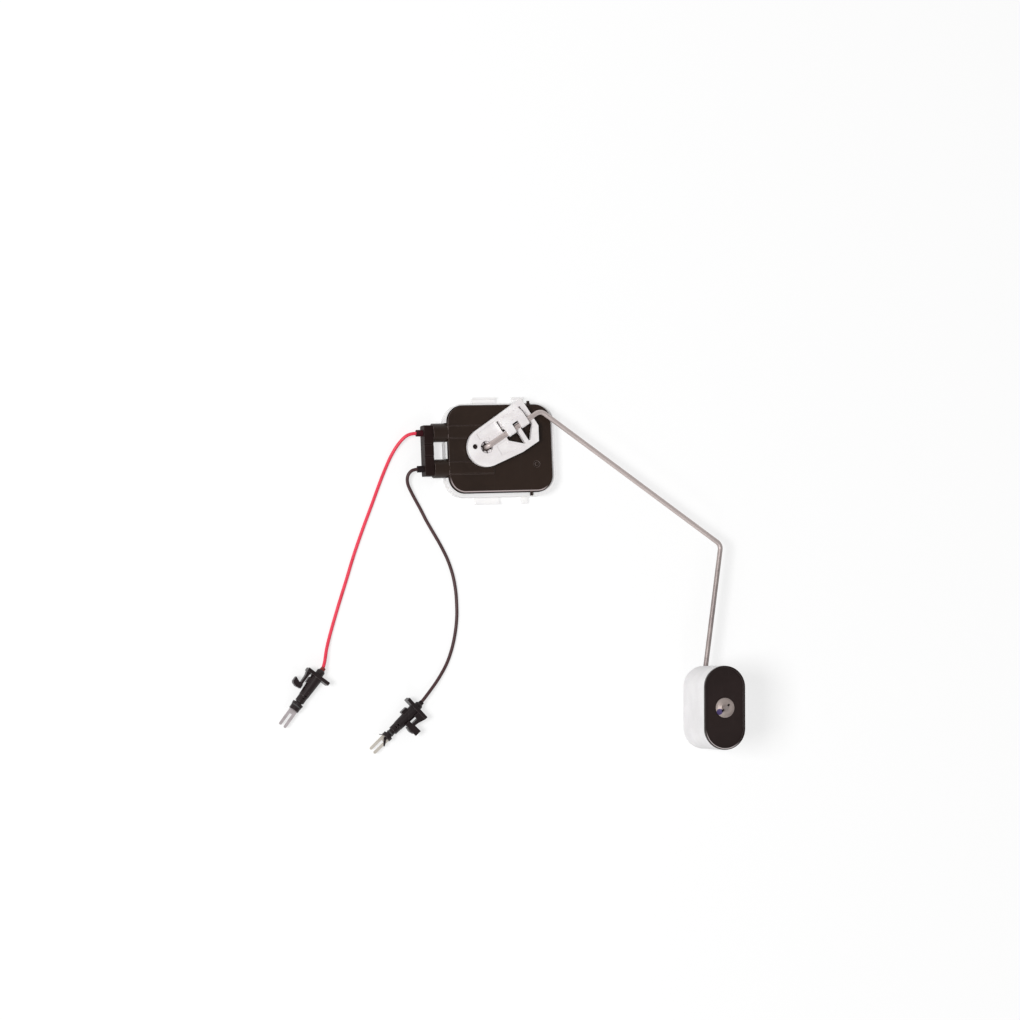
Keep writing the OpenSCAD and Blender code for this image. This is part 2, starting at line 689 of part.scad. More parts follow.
// Slots that part the hub's plate into six sprung tongues
module tongue_slots() {
    slot_w = 0.9;
    for (a = [14 : 60 : 314]) rotate([0, 0, a])
        translate([0, -slot_w / 2, lever_z]) cube([well_r - 0.02, slot_w, lever_t]);
}

// Section of the clip, from its root beside the rod to the hook past the rod
module clip_profile() {
    crown = rod_z + rod_r + 1.3;
    difference() {
        polygon([[7.8, lever_top - 0.5], [7.8, lever_top + 0.2], [5.6, crown - 0.7], [4.4, crown],
            [-1.3, crown], [-2.1, crown - 0.7], [-2.1, lever_top + 0.1], [-1.7, lever_top - 0.6],
            [-0.6, lever_top - 0.6], [0, lever_top - 0.4]]);
        polygon([[0, lever_top - cut], [2.7, lever_top - cut], [2.7, rod_z + 0.3], [1.8, rod_z + 1.1],
            [0, rod_z + 1.1]]);
    }
}

// Key under the hub that runs between the ends of the cover's stop wall
module lever_key() {
    rotate([0, 0, -rod_angle - key_half]) rotate_extrude(angle = 2 * key_half)
        translate([key_r[0], cover_top + 0.25]) square([key_r[1] - key_r[0], lever_gap]);
}

// Pocket for the magnet, open below, with a sight hole through the top
module magnet_pocket() {
    translate([magnet_at[0], magnet_at[1], lever_z - cut]) {
        cylinder(d = magnet_d + 2 * fit_gap, h = cut + 1.6);
        cylinder(d = sight_d, h = lever_t + 2 * cut);
    }
}

// Shallow panels in the lever's face
module panels() {
    deep = 0.35;
    upper = [[3.4, 2.6], [10.4, 2.6], [10.4, 8.6], [-1, 8.2], [-1, 5], [3.4, 3.4]];
    lower = [[4.6, -2.4], [10.4, -2.4], [10.4, -4.2], [17, -10.2], [4.2, -7.6]];
    translate([0, 0, lever_top - deep]) linear_extrude(deep + cut) {
        polygon(upper);
        polygon(lower);
    }
}

// Magnet pressed into the lever from below
module magnet() {
    color([0.20, 0.20, 0.22]) on_lever() translate([magnet_at[0], magnet_at[1], lever_z + 0.1])
        cylinder(d = magnet_d, h = 1.4);
}

// A straight stretch of the rod in its plane, from the end of one bend to the start of the next
module rod_leg(from, to) {
    d = to - from;
    translate(from) rotate([0, 90, atan2(d[1], d[0])])
        translate([0, 0, -bend_lap]) cylinder(r = rod_r, h = norm(d) + 2 * bend_lap);
}

// A flat bend at corner b of the path a-b-c
module rod_bend(a, b, c, r) {
    u = unit(a - b);
    v = unit(c - b);
    half = acos(u * v) / 2;
    mid_dir = unit(u + v);
    centre = b + mid_dir * r / sin(half);
    span = 180 - 2 * half;
    aim = atan2(-mid_dir[1], -mid_dir[0]);
    translate([centre[0], centre[1], rod_z]) rotate([0, 0, aim - span / 2])
        rotate_extrude(angle = span) translate([r, 0]) circle(rod_r + bend_swell);
}

// How far a bend reaches back from its corner
function bend_reach(a, b, c, r) = r * tan(90 - acos(unit(a - b) * unit(c - b)) / 2);

// A bend out of the rod's plane at the point p, towards the angle, up or down
module end_bend(p, angle, up) {
    translate([p[0], p[1], rod_z + (up ? 1 : -1) * end_bend_r]) rotate([0, 0, angle])
        translate([end_bend_r, 0, 0]) rotate([90, 0, 0])
            rotate([0, 0, up ? 180 : 90]) rotate_extrude(angle = 90)
                translate([end_bend_r, 0]) circle(rod_r + bend_swell);
}

// Steel rod: pivot end, two elbows in one plane, and the float's axle
module float_rod() {
    o = [0, 0];
    r1 = bend_reach(o, elbow_1, elbow_2, bend_r);
    r2 = bend_reach(elbow_1, elbow_2, float_at, bend_r);
    lie = [unit(elbow_1), unit(elbow_2 - elbow_1), unit(float_at - elbow_2)];
    at = [for (p = [end_bend_r * lie[0], elbow_1 - r1 * lie[0], elbow_1 + r1 * lie[1],
        elbow_2 - r2 * lie[1], elbow_2 + r2 * lie[2], float_at - end_bend_r * lie[2]]) [p[0], p[1], rod_z]];
    color([0.62, 0.58, 0.54]) {
        translate([0, 0, pivot_tip]) cylinder(r = rod_r, h = rod_z - end_bend_r - pivot_tip + bend_lap);
        end_bend(o, atan2(lie[0][1], lie[0][0]), false);
        rod_leg(at[0], at[1]);
        rod_bend(o, elbow_1, elbow_2, bend_r);
        rod_leg(at[2], at[3]);
        rod_bend(elbow_1, elbow_2, float_at, bend_r);
        rod_leg(at[4], at[5]);
        end_bend(float_at, atan2(-lie[2][1], -lie[2][0]), true);
        translate([float_at[0], float_at[1], rod_z + end_bend_r - bend_lap])
            cylinder(r = rod_r, h = rod_top - rod_z - end_bend_r + bend_lap);
    }
}

// Children are drawn about the float's axle
module on_float() {
    translate([float_at[0], float_at[1], 0]) rotate([0, 0, float_turn]) children();
}

// White float shell: a deep cup with a tube for the axle
module float_body() {
    r = float_w / 2;
    edge = 2;
    tube_r = rod_r + 1.6;
    color([0.94, 0.94, 0.93]) on_float() difference() {
        union() {
            difference() {
                stadium(float_l, float_w) {
                    translate([0, float_z]) square([r - edge, edge]);
                    translate([0, float_z + edge]) square([r, lid_z - float_z - edge]);
                    intersection() {
                        translate([r - edge, float_z + edge]) circle(edge);
                        translate([r - edge, float_z]) square(edge);
                    }
                }
                stadium(float_l, float_w)
                    translate([0, float_z + float_wall]) square([r - float_wall, float_h]);
            }
            translate([0, 0, float_z]) cylinder(r = tube_r, h = lid_z - float_z);
        }
        translate([0, 0, float_z - cut]) cylinder(r = rod_r + run_gap, h = float_h + 2 * cut);
    }
}

// Black lid of the float, with a bead round its rim
module float_lid() {
    r = float_w / 2 - 0.1;
    l = float_l - 0.2;
    bead = 0.9;
    color([0.15, 0.13, 0.13]) on_float() difference() {
        union() {
            stadium(l, 2 * r) translate([0, lid_z]) square([r, lid_floor - lid_z]);
            stadium(l, 2 * r) translate([r - bead, lid_floor - 0.1])
                square([bead, lid_z + lid_t - lid_floor + 0.1]);
            difference() {
                stadium(l, 2 * r) translate([0, lid_z - 1.2])
                    square([r + 0.1 - float_wall - fit_gap, 1.3]);
                translate([0, 0, lid_z - 1.2 - cut]) cylinder(r = rod_r + 1.6 + fit_gap, h = 1.2 + cut);
            }
        }
        translate([0, 0, lid_z - cut]) cylinder(r = rod_r + run_gap + 0.05, h = lid_t + 2 * cut);
    }
}

// Domed push nut on the end of the axle
module push_nut() {
    r = nut_d / 2;
    hub = 2.3;
    color([0.75, 0.74, 0.76]) translate([float_at[0], float_at[1], 0]) difference() {
        rotate_extrude() polygon([[rod_r, nut_z + nut_rise], [hub, nut_z + nut_rise], [r - 1.2, nut_z + 0.25],
            [r - 0.9, nut_z], [r, nut_z], [r, nut_z + nut_t], [r - 0.9, nut_z + nut_t + 0.25],
            [hub, nut_z + nut_rise + nut_t], [rod_r, nut_z + nut_rise + nut_t]]);
        rotate([0, 0, 40]) translate([-hub - 0.4, -0.5, nut_z])
            cube([2 * hub + 0.8, 1, nut_rise + nut_t + cut]);
    }
}

back_tray();
front_cover();
cover_seal();
ceramic_substrate();
comb_spacer();
contact_comb();
terminal_retainer();
red_terminal();
black_terminal();
red_wire_seal();
black_wire_seal();
red_lead();
black_lead();
red_plug_body();
black_plug_body();
red_plug_seal();
black_plug_seal();
red_plug_ring();
black_plug_ring();
red_fork();
black_fork();
lever();
magnet();
float_rod();
push_nut();
float_body();
float_lid();
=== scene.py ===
"""Dresses the fuel level sender: its finishes, its two leads, the camera, the floor and the light.

Everything is in metres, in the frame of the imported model: the origin is on the lever's pivot axis
at the housing's back face, and +Z runs out through the lever.
"""

import logging
import math
from dataclasses import dataclass, field
from enum import Enum

import bpy
from mathutils import Matrix, Vector


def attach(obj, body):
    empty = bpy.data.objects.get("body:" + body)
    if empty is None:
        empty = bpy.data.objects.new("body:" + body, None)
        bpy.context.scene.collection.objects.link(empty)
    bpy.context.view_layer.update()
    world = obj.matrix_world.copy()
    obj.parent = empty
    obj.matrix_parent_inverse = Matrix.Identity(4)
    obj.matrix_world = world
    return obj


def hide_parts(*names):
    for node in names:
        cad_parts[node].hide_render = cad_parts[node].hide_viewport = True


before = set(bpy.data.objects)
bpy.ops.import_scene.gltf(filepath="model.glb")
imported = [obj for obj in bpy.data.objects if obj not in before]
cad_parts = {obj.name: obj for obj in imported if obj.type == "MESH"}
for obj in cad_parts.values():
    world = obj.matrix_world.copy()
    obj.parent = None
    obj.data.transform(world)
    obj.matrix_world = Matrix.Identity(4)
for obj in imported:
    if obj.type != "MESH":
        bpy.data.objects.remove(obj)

LOG = logging.getLogger("fuel_level_sender")
MM = 0.001

Colour = tuple[float, float, float]
Point = tuple[float, float, float]
Pair = tuple[float, float]

WHITE: Colour = (1.0, 1.0, 1.0)
COVER_MID: Pair = (8.2 * MM, -0.6 * MM)


def rgba(colour: Colour) -> tuple[float, float, float, float]:
    """Adds a full alpha to a colour."""
    return (*colour, 1.0)


class NodeTree:
    """A thin wrapper round a node tree that makes nodes and links in one call each.

    Blender's Mix node holds a socket for each kind of value, so its colours go by their places.
    """

    MIX_FIRST, MIX_SECOND, MIX_RESULT = 6, 7, 2

    def __init__(self, tree: bpy.types.NodeTree) -> None:
        """Keeps the tree.

        Args:
            tree: The shader tree or node group to fill.
        """
        self.tree = tree

    def add(self, kind: str, **settings: object) -> bpy.types.Node:
        """Makes a node and sets its properties.

        Args:
            kind: Blender's type name for the node.
            **settings: Properties of the node, by name.

        Returns:
            The new node.
        """
        node = self.tree.nodes.new(kind)
        for name, value in settings.items():
            setattr(node, name, value)
        return node

    def link(self, out: bpy.types.NodeSocket, into: bpy.types.NodeSocket) -> None:
        """Links one socket to another."""
        self.tree.links.new(out, into)

    def feed(self, node: bpy.types.Node, name: str | int, value: object) -> None:
        """Sets an input to a value, or links a socket to it.

        Args:
            node: The node whose input is fed.
            name: The input's name or its place.
            value: A number, a colour, a vector or a socket.
        """
        if isinstance(value, bpy.types.NodeSocket):
            self.link(value, node.inputs[name])
        else:
            node.inputs[name].default_value = value

    def place(self) -> bpy.types.NodeSocket:
        """Gives the point that is shaded, in metres in the shared frame."""
        return self.add("ShaderNodeTexCoord").outputs["Object"]

    def axes(self, vector: bpy.types.NodeSocket) -> dict[str, bpy.types.NodeSocket]:
        """Splits a vector.

        Args:
            vector: The socket with the vector.

        Returns:
            The sockets with its X, Y and Z, by those names.
        """
        node = self.add("ShaderNodeSeparateXYZ")
        self.feed(node, 0, vector)
        return {axis: node.outputs[axis] for axis in "XYZ"}

    def math(
        self, operation: str, first: object, second: object = 0.0, clamp: bool = False
    ) -> bpy.types.NodeSocket:
        """Does one step of arithmetic.

        Args:
            operation: Blender's name of the operation.
            first: The first number or socket.
            second: The second number or socket.
            clamp: Whether the result is kept between 0 and 1.

        Returns:
            The socket that holds the result.
        """
        node = self.add("ShaderNodeMath", operation=operation, use_clamp=clamp)
        self.feed(node, 0, first)
        self.feed(node, 1, second)
        return node.outputs[0]

    def dot(self, first: object, second: object) -> bpy.types.NodeSocket:
        """Gives the dot product of two vectors.

        Args:
            first: The first vector or socket.
            second: The second vector or socket.

        Returns:
            The socket that holds the product.
        """
        node = self.add("ShaderNodeVectorMath", operation="DOT_PRODUCT")
        self.feed(node, 0, first)
        self.feed(node, 1, second)
        return node.outputs["Value"]

    def band(self, value: object, low: float, high: float, soft: float) -> bpy.types.NodeSocket:
        """Gives 1 from low to high and 0 outside, with soft ends.

        Args:
            value: The socket to test.
            low: Where the band begins.
            high: Where it ends.
            soft: The width of each end.

        Returns:
            The socket that holds the band.
        """
        rise = self.remap(value, low - soft / 2, low + soft / 2)
        fall = self.remap(value, high - soft / 2, high + soft / 2)
        return self.math("SUBTRACT", rise, fall, clamp=True)

    def remap(self, value: object, low: float, high: float) -> bpy.types.NodeSocket:
        """Stretches the range from low to high over 0 to 1, smoothly at both ends.

        Args:
            value: The socket to stretch.
            low: What becomes 0.
            high: What becomes 1.

        Returns:
            The socket that holds the result.
        """
        node = self.add("ShaderNodeMapRange", interpolation_type="SMOOTHSTEP")
        self.feed(node, "Value", value)
        self.feed(node, "From Min", low)
        self.feed(node, "From Max", high)
        return node.outputs["Result"]

    def mix(self, share: object, first: object, second: object) -> bpy.types.NodeSocket:
        """Mixes two colours.

        Args:
            share: How much of the second colour shows, from 0 to 1.
            first: The first colour or socket.
            second: The second colour or socket.

        Returns:
            The socket that holds the mixed colour.
        """
        node = self.add("ShaderNodeMix", data_type="RGBA")
        self.feed(node, "Factor", share)
        self.feed(node, self.MIX_FIRST, first)
        self.feed(node, self.MIX_SECOND, second)
        return node.outputs[self.MIX_RESULT]

    def noise(
        self, where: object, scale: object, detail: float = 3.0, rough: float = 0.55
    ) -> bpy.types.NodeSocket:
        """Adds a noise texture.

        Args:
            where: The socket with the coordinates.
            scale: Lumps to the metre, as a number or a socket.
            detail: How many finer layers the noise has.
            rough: How strong the finer layers are.

        Returns:
            The noise, from 0 to 1.
        """
        node = self.add("ShaderNodeTexNoise")
        self.feed(node, "Vector", where)
        self.feed(node, "Scale", scale)
        self.feed(node, "Detail", detail)
        self.feed(node, "Roughness", rough)
        return node.outputs["Fac"]


class Effect(Enum):
    """The effects that several finishes share, each a node group."""

    GRAIN = "moulded_grain"
    SCUFFS = "fine_scuffs"
    CLOUDS = "soft_clouds"
    SPOT = "round_spot"
    EDGES = "rounded_edges"
    OUTLINE = "plate_outline"


@dataclass
class EffectGroups:
    """Builds each shared effect once and places it in materials.

    A span is the pair of levels between which a mask rises from 0 to 1. Front is the way, seen from above,
    that the rims look where a highlight line is painted on them.
    """

    grain_coarse: float = 0.12
    grain_fine_share: float = 0.6
    grain_span: Pair = (0.35, 0.65)
    scuff_turns: Pair = (0.6, 2.3)
    scuff_tilt: Pair = (0.3, 0.2)
    scuff_stretch: Point = (1.0, 0.06, 0.35)
    scuff_span: Pair = (0.64, 0.72)
    cloud_span: Pair = (0.36, 0.64)
    spot_lumps: float = 900.0
    spot_span: Pair = (0.85, 1.1)
    edge_samples: int = 8
    edge_span: Pair = (0.008, 0.1)
    front: Pair = (-0.35, -0.94)
    front_span: Pair = (0.34, 0.8)
    least_reach: float = 0.1 * MM
    _built: dict[Effect, bpy.types.NodeTree] = field(default_factory=dict)

    def group(self, effect: Effect) -> bpy.types.NodeTree:
        """Gives the node group of an effect.

        Args:
            effect: The effect wanted.

        Returns:
            Its node group, built at the first call.
        """
        makers = {
            Effect.GRAIN: self._grain,
            Effect.SCUFFS: self._scuffs,
            Effect.CLOUDS: self._clouds,
            Effect.SPOT: self._spot,
            Effect.EDGES: self._edges,
            Effect.OUTLINE: self._outline,
        }
        if effect not in self._built:
            self._built[effect] = makers[effect]()
        return self._built[effect]

    @staticmethod
    def _new(
        effect: Effect, inputs: dict[str, float], outputs: tuple[str, ...]
    ) -> tuple[NodeTree, bpy.types.Node, bpy.types.Node]:
        """Makes an empty group with its sockets.

        Args:
            effect: The effect that the group is for.
            inputs: Names of the number inputs, with their values at first.
            outputs: Names of the number outputs.

        Returns:
            The group's tree, its input node and its output node.
        """
        group = bpy.data.node_groups.new(effect.value, "ShaderNodeTree")
        for name, value in inputs.items():
            socket = group.interface.new_socket(name, in_out="INPUT", socket_type="NodeSocketFloat")
            socket.default_value = value
        for name in outputs:
            group.interface.new_socket(name, in_out="OUTPUT", socket_type="NodeSocketFloat")
        tree = NodeTree(group)
        return tree, tree.add("NodeGroupInput"), tree.add("NodeGroupOutput")

    def _grain(self) -> bpy.types.NodeTree:
        """Builds the fine grain of a moulded or cast surface."""
        inputs = {"Scale": 2500.0, "Roughness": 0.5, "Spread": 0.1}
        tree, given, out = self._new(Effect.GRAIN, inputs, ("Grain", "Roughness", "Height"))
        where = tree.place()
        fine = tree.noise(where, given.outputs["Scale"], 4.0, 0.6)
        wider = tree.math("MULTIPLY", given.outputs["Scale"], self.grain_coarse)
        coarse = tree.noise(where, wider, 2.0, 0.5)
        fine = tree.math("MULTIPLY", fine, self.grain_fine_share)
        both = tree.math("ADD", fine, tree.math("MULTIPLY", coarse, 1.0 - self.grain_fine_share))
        swing = tree.math("MULTIPLY", tree.math("SUBTRACT", both, 0.5), given.outputs["Spread"])
        rough = tree.math("ADD", given.outputs["Roughness"], swing, clamp=True)
        tree.link(tree.remap(both, *self.grain_span), out.inputs["Grain"])
        tree.link(rough, out.inputs["Roughness"])
        tree.link(both, out.inputs["Height"])
        return tree.tree

    def _scuffs(self) -> bpy.types.NodeTree:
        """Builds sparse fine scratches in two crossing directions."""
        tree, given, out = self._new(Effect.SCUFFS, {"Scale": 900.0, "Amount": 0.5}, ("Mask",))
        where = tree.place()
        masks = []
        for turn in self.scuff_turns:
            place = tree.add("ShaderNodeMapping")
            tree.feed(place, "Vector", where)
            tree.feed(place, "Rotation", (*self.scuff_tilt, turn))
            tree.feed(place, "Scale", self.scuff_stretch)
            lines = tree.noise(place.outputs["Vector"], given.outputs["Scale"], 2.0, 0.5)
            masks.append(tree.remap(lines, *self.scuff_span))
        mask = tree.math("MAXIMUM", *masks)
        mask = tree.math("MULTIPLY", mask, given.outputs["Amount"], clamp=True)
        tree.link(mask, out.inputs["Mask"])
        return tree.tree

    def _clouds(self) -> bpy.types.NodeTree:
        """Builds large soft patches, such as the flow of the melt or the smear of a hand."""
        tree, given, out = self._new(Effect.CLOUDS, {"Scale": 60.0, "Stretch": 1.0}, ("Mask",))
        where = tree.place()
        stretch = tree.add("ShaderNodeCombineXYZ")
        tree.feed(stretch, "X", given.outputs["Stretch"])
        tree.feed(stretch, "Y", 1.0)
        tree.feed(stretch, "Z", 1.0)
        place = tree.add("ShaderNodeVectorMath", operation="MULTIPLY")
        tree.feed(place, 0, where)
        tree.feed(place, 1, stretch.outputs["Vector"])
        patches = tree.noise(place.outputs["Vector"], given.outputs["Scale"], 3.0, 0.5)
        tree.link(tree.remap(patches, *self.cloud_span), out.inputs["Mask"])
        return tree.tree

    def _spot(self) -> bpy.types.NodeTree:
        """Builds a round spot with a ragged edge, at a place given in metres."""
        inputs = {"X": 0.0, "Y": 0.0, "Radius": 0.001, "Ragged": 0.3}
        tree, given, out = self._new(Effect.SPOT, inputs, ("Mask",))
        where = tree.place()
        axes = tree.axes(where)
        across = tree.math("SUBTRACT", axes["X"], given.outputs["X"])
        along = tree.math("SUBTRACT", axes["Y"], given.outputs["Y"])
        square = tree.math("MULTIPLY", across, across)
        square = tree.math("ADD", square, tree.math("MULTIPLY", along, along))
        reach = tree.math("DIVIDE", tree.math("SQRT", square), given.outputs["Radius"])
        uneven = tree.math("SUBTRACT", tree.noise(where, self.spot_lumps), 0.5)
        reach = tree.math("ADD", reach, tree.math("MULTIPLY", uneven, given.outputs["Ragged"]))
        outside = tree.remap(reach, *self.spot_span)
        tree.link(tree.math("SUBTRACT", 1.0, outside), out.inputs["Mask"])
        return tree.tree

    def _edges(self) -> bpy.types.NodeTree:
        """Builds normals that round the sharp edges, and a mask of those edges."""
        tree, given, out = self._new(Effect.EDGES, {"Radius": 0.25 * MM}, ("Mask",))
        tree.tree.interface.new_socket("Normal", in_out="OUTPUT", socket_type="NodeSocketVector")
        rounded = tree.add("ShaderNodeBevel", samples=self.edge_samples)
        tree.feed(rounded, "Radius", given.outputs["Radius"])
        own = tree.add("ShaderNodeNewGeometry").outputs["Normal"]
        lean = tree.math("SUBTRACT", 1.0, tree.dot(rounded.outputs["Normal"], own))
        tree.link(tree.remap(lean, *self.edge_span), out.inputs["Mask"])
        tree.link(rounded.outputs["Normal"], out.inputs["Normal"])
        return tree.tree

    def _outline(self) -> bpy.types.NodeTree:
        """Builds how deep a point lies in a round-cornered rectangle, and whether its side is in front."""
        inputs = {"X": 0.0, "Y": 0.0, "Half X": 0.01, "Half Y": 0.01, "Corner": 0.001}
        tree, given, out = self._new(Effect.OUTLINE, inputs, ("Inset", "Front", "Height"))
        axes = tree.axes(tree.place())
        squares, leans = [], []
        for axis, share in zip(("X", "Y"), self.front):
            off = tree.math("SUBTRACT", axes[axis], given.outputs[axis])
            straight = tree.math("SUBTRACT", given.outputs[f"Half {axis}"], given.outputs["Corner"])
            past = tree.math("SUBTRACT", tree.math("ABSOLUTE", off), straight)
            past = tree.math("MAXIMUM", past, 0.0)
            squares.append(tree.math("MULTIPLY", past, past))
            signed = tree.math("MULTIPLY", past, tree.math("SIGN", off))
            leans.append(tree.math("MULTIPLY", signed, share))
        reach = tree.math("SQRT", tree.math("ADD", *squares))
        lean = tree.math("ADD", *leans)
        lean = tree.math("DIVIDE", lean, tree.math("MAXIMUM", reach, self.least_reach))
        tree.link(tree.math("SUBTRACT", given.outputs["Corner"], reach), out.inputs["Inset"])
        tree.link(tree.remap(lean, *self.front_span), out.inputs["Front"])
        tree.link(axes["Z"], out.inputs["Height"])
        return tree.tree


GROUPS = EffectGroups()


class Surface:
    """One material being built: a shader, its output, and calls that place the shared effects."""

    def __init__(self, name: str) -> None:
        """Makes the material and its shader.

        Args:
            name: The material's name.
        """
        self.material = bpy.data.materials.new(name)
        self.material.use_nodes = True
        self.nodes = NodeTree(self.material.node_tree)
        self.shader = self.material.node_tree.nodes["Principled BSDF"]

    def effect(self, effect: Effect, **values: float) -> bpy.types.Node:
        """Places a shared effect.

        Args:
            effect: The effect to place.
            **values: Its inputs, with underscores for spaces.

        Returns:
            The group node.
        """
        node = self.nodes.add("ShaderNodeGroup", node_tree=GROUPS.group(effect))
        for name, value in values.items():
            node.inputs[name.replace("_", " ")].default_value = value
        return node

    def grain(self, scale: float, roughness: float, spread: float) -> bpy.types.Node:
        """Places the grain and lets it vary the shader's roughness.

        Args:
            scale: Grains to the metre.
            roughness: The roughness at the middle of the grain.
            spread: How far the grain moves it.

        Returns:
            The grain's group node.
        """
        node = self.effect(Effect.GRAIN, Scale=scale, Roughness=roughness, Spread=spread)
        self.set(Roughness=node.outputs["Roughness"])
        return node

    def set(self, **values: object) -> None:
        """Sets or links the shader's own sockets, with underscores for spaces."""
        for name, value in values.items():
            self.nodes.feed(self.shader, name.replace("_", " "), value)

    def bump(
        self, height: bpy.types.NodeSocket, depth: float, normal: bpy.types.NodeSocket | None = None
    ) -> None:
        """Raises the surface by a height.

        Args:
            height: The socket with the height, from 0 to 1.
            depth: How far full height stands out, in metres.
            normal: The socket with the normal to start from, if it isn't the surface's own.
        """
        node = self.nodes.add("ShaderNodeBump")
        if normal:
            self.nodes.link(normal, node.inputs["Normal"])
        self.nodes.feed(node, "Strength", 1.0)
        self.nodes.feed(node, "Distance", depth)
        self.nodes.feed(node, "Height", height)
        self.nodes.link(node.outputs["Normal"], self.shader.inputs["Normal"])


@dataclass(frozen=True)
class Finish:
    """What every finish has: a name and the two tones that its surface moves between."""

    name: str
    light: Colour
    dark: Colour

    def build(self) -> bpy.types.Material:
        """Builds the material; each kind of finish has its own way."""
        raise NotImplementedError


@dataclass(frozen=True)
class MouldedPlastic(Finish):
    """A moulded plastic: fine grain, soft flow patches, a few scuffs and a painted highlight along its
    edges.

    Grain, patch and scuff are lumps to the metre, and depths and the edge's radius are metres.
    """

    roughness: float = 0.45
    spread: float = 0.25
    grain: float = 2600.0
    grain_depth: float = 0.01 * MM
    grain_share: float = 0.4
    patch: float = 70.0
    patch_stretch: float = 0.6
    scuff: float = 700.0
    scuffed: float = 0.15
    scuff_colour: Colour = (0.5, 0.5, 0.5)
    specular: float = 0.4
    subsurface: float = 0.0
    subsurface_radius: Point = (2.0 * MM, 2.0 * MM, 1.8 * MM)
    edge: float = 0.25 * MM
    edge_highlight_colour: Colour = (0.5, 0.5, 0.5)
    edge_highlight_share: float = 0.0

    def marked(self, surface: Surface, colour: bpy.types.NodeSocket) -> bpy.types.NodeSocket:
        """Lays marks over the plastic's colour; a plain plastic has none.

        Args:
            surface: The material being built.
            colour: The socket with the colour so far.

        Returns:
            The socket with the colour and its marks.
        """
        return colour

    def build(self) -> bpy.types.Material:
        """Builds the plastic's material.

        Returns:
            The new material.
        """
        surface = Surface(self.name)
        grain = surface.grain(self.grain, self.roughness, self.spread)
        clouds = surface.effect(Effect.CLOUDS, Scale=self.patch, Stretch=self.patch_stretch)
        scuffs = surface.effect(Effect.SCUFFS, Scale=self.scuff, Amount=self.scuffed)
        fine = surface.nodes.math("MULTIPLY", grain.outputs["Grain"], self.grain_share)
        soft = surface.nodes.math("MULTIPLY", clouds.outputs["Mask"], 1.0 - self.grain_share)
        share = surface.nodes.math("ADD", fine, soft)
        tone = surface.nodes.mix(share, rgba(self.dark), rgba(self.light))
        colour = surface.nodes.mix(scuffs.outputs["Mask"], tone, rgba(self.scuff_colour))
        edges = surface.effect(Effect.EDGES, Radius=self.edge)
        # Painted highlight: the rounded edges are mixed towards a pale colour, standing in for the light
        # they catch.
        if self.edge_highlight_share:
            shine = surface.nodes.math("MULTIPLY", edges.outputs["Mask"], self.edge_highlight_share)
            colour = surface.nodes.mix(shine, colour, rgba(self.edge_highlight_colour))
        colour = self.marked(surface, colour)
        surface.set(Base_Color=colour, Specular_IOR_Level=self.specular)
        if self.subsurface:
            surface.set(Subsurface_Weight=self.subsurface, Subsurface_Radius=self.subsurface_radius)
            surface.set(Subsurface_Scale=1.0)
        surface.bump(grain.outputs["Height"], self.grain_depth, edges.outputs["Normal"])
        return surface.material


@dataclass(frozen=True)
class PlateArea:
    """A rectangle with round corners, in metres, between two heights."""

    at: Pair
    half: Pair
    corner: float
    levels: Pair
    soft: float = 0.02 * MM

    def place(self, surface: Surface) -> tuple[bpy.types.Node, bpy.types.NodeSocket]:
        """Places the outline's effect in a material.

        Args:
            surface: The material being built.

        Returns:
            The effect's node, and the socket that is 1 between the two heights.
        """
        node = surface.effect(
            Effect.OUTLINE, X=self.at[0], Y=self.at[1], Half_X=self.half[0], Half_Y=self.half[1],
            Corner=self.corner,
        )
        return node, surface.nodes.band(node.outputs["Height"], *self.levels, self.soft)


@dataclass(frozen=True)
class TrayPlastic(MouldedPlastic):
    """The tray's plastic, with painted shade down in the seat that the cover lies in."""

    seat_shade_colour: Colour = (0.035, 0.026, 0.024)
    seat: PlateArea = PlateArea(
        COVER_MID, (27.3 * MM, 22.3 * MM), 8.6 * MM, (4.5 * MM, 6.95 * MM)
    )

    def marked(self, surface: Surface, colour: bpy.types.NodeSocket) -> bpy.types.NodeSocket:
        """Paints shade into the seat.

        Args:
            surface: The material being built.
            colour: The socket with the colour so far.

        Returns:
            The socket with the colour and the painted shade in the seat.
        """
        # Painted shade: the seat's walls and ledge under the cover's edge are darkened, standing in for
        # the shade in the gap.
        outline, level = self.seat.place(surface)
        inside = surface.nodes.math("GREATER_THAN", outline.outputs["Inset"], 0.0)
        share = surface.nodes.math("MULTIPLY", inside, level)
        return surface.nodes.mix(share, colour, rgba(self.seat_shade_colour))


@dataclass(frozen=True)
class RimmedPlastic(MouldedPlastic):
    """The plastic of a cover or a lid, with a painted highlight line along its front rim."""

    highlight_line_colour: Colour = (0.50, 0.42, 0.42)
    highlight_line_inset: Pair = (0.22 * MM, 0.72 * MM)
    highlight_line_soft: float = 0.2 * MM
    face: PlateArea = PlateArea(
        COVER_MID, (26.8 * MM, 21.8 * MM), 8.1 * MM, (8.5 * MM, 8.7 * MM)
    )

    def marked(self, surface: Surface, colour: bpy.types.NodeSocket) -> bpy.types.NodeSocket:
        """Paints a highlight line along the front rim.

        Args:
            surface: The material being built.
            colour: The socket with the colour so far.

        Returns:
            The socket with the colour and the painted highlight line.
        """
        outline, level = self.face.place(surface)
        # Painted highlight: a pale line just inside the outline, on the sides facing front, at the top
        # face's height.
        line = surface.nodes.band(outline.outputs["Inset"], *self.highlight_line_inset, self.highlight_line_soft)
        line = surface.nodes.math("MULTIPLY", line, outline.outputs["Front"])
        line = surface.nodes.math("MULTIPLY", line, level)
        return surface.nodes.mix(line, colour, rgba(self.highlight_line_colour))


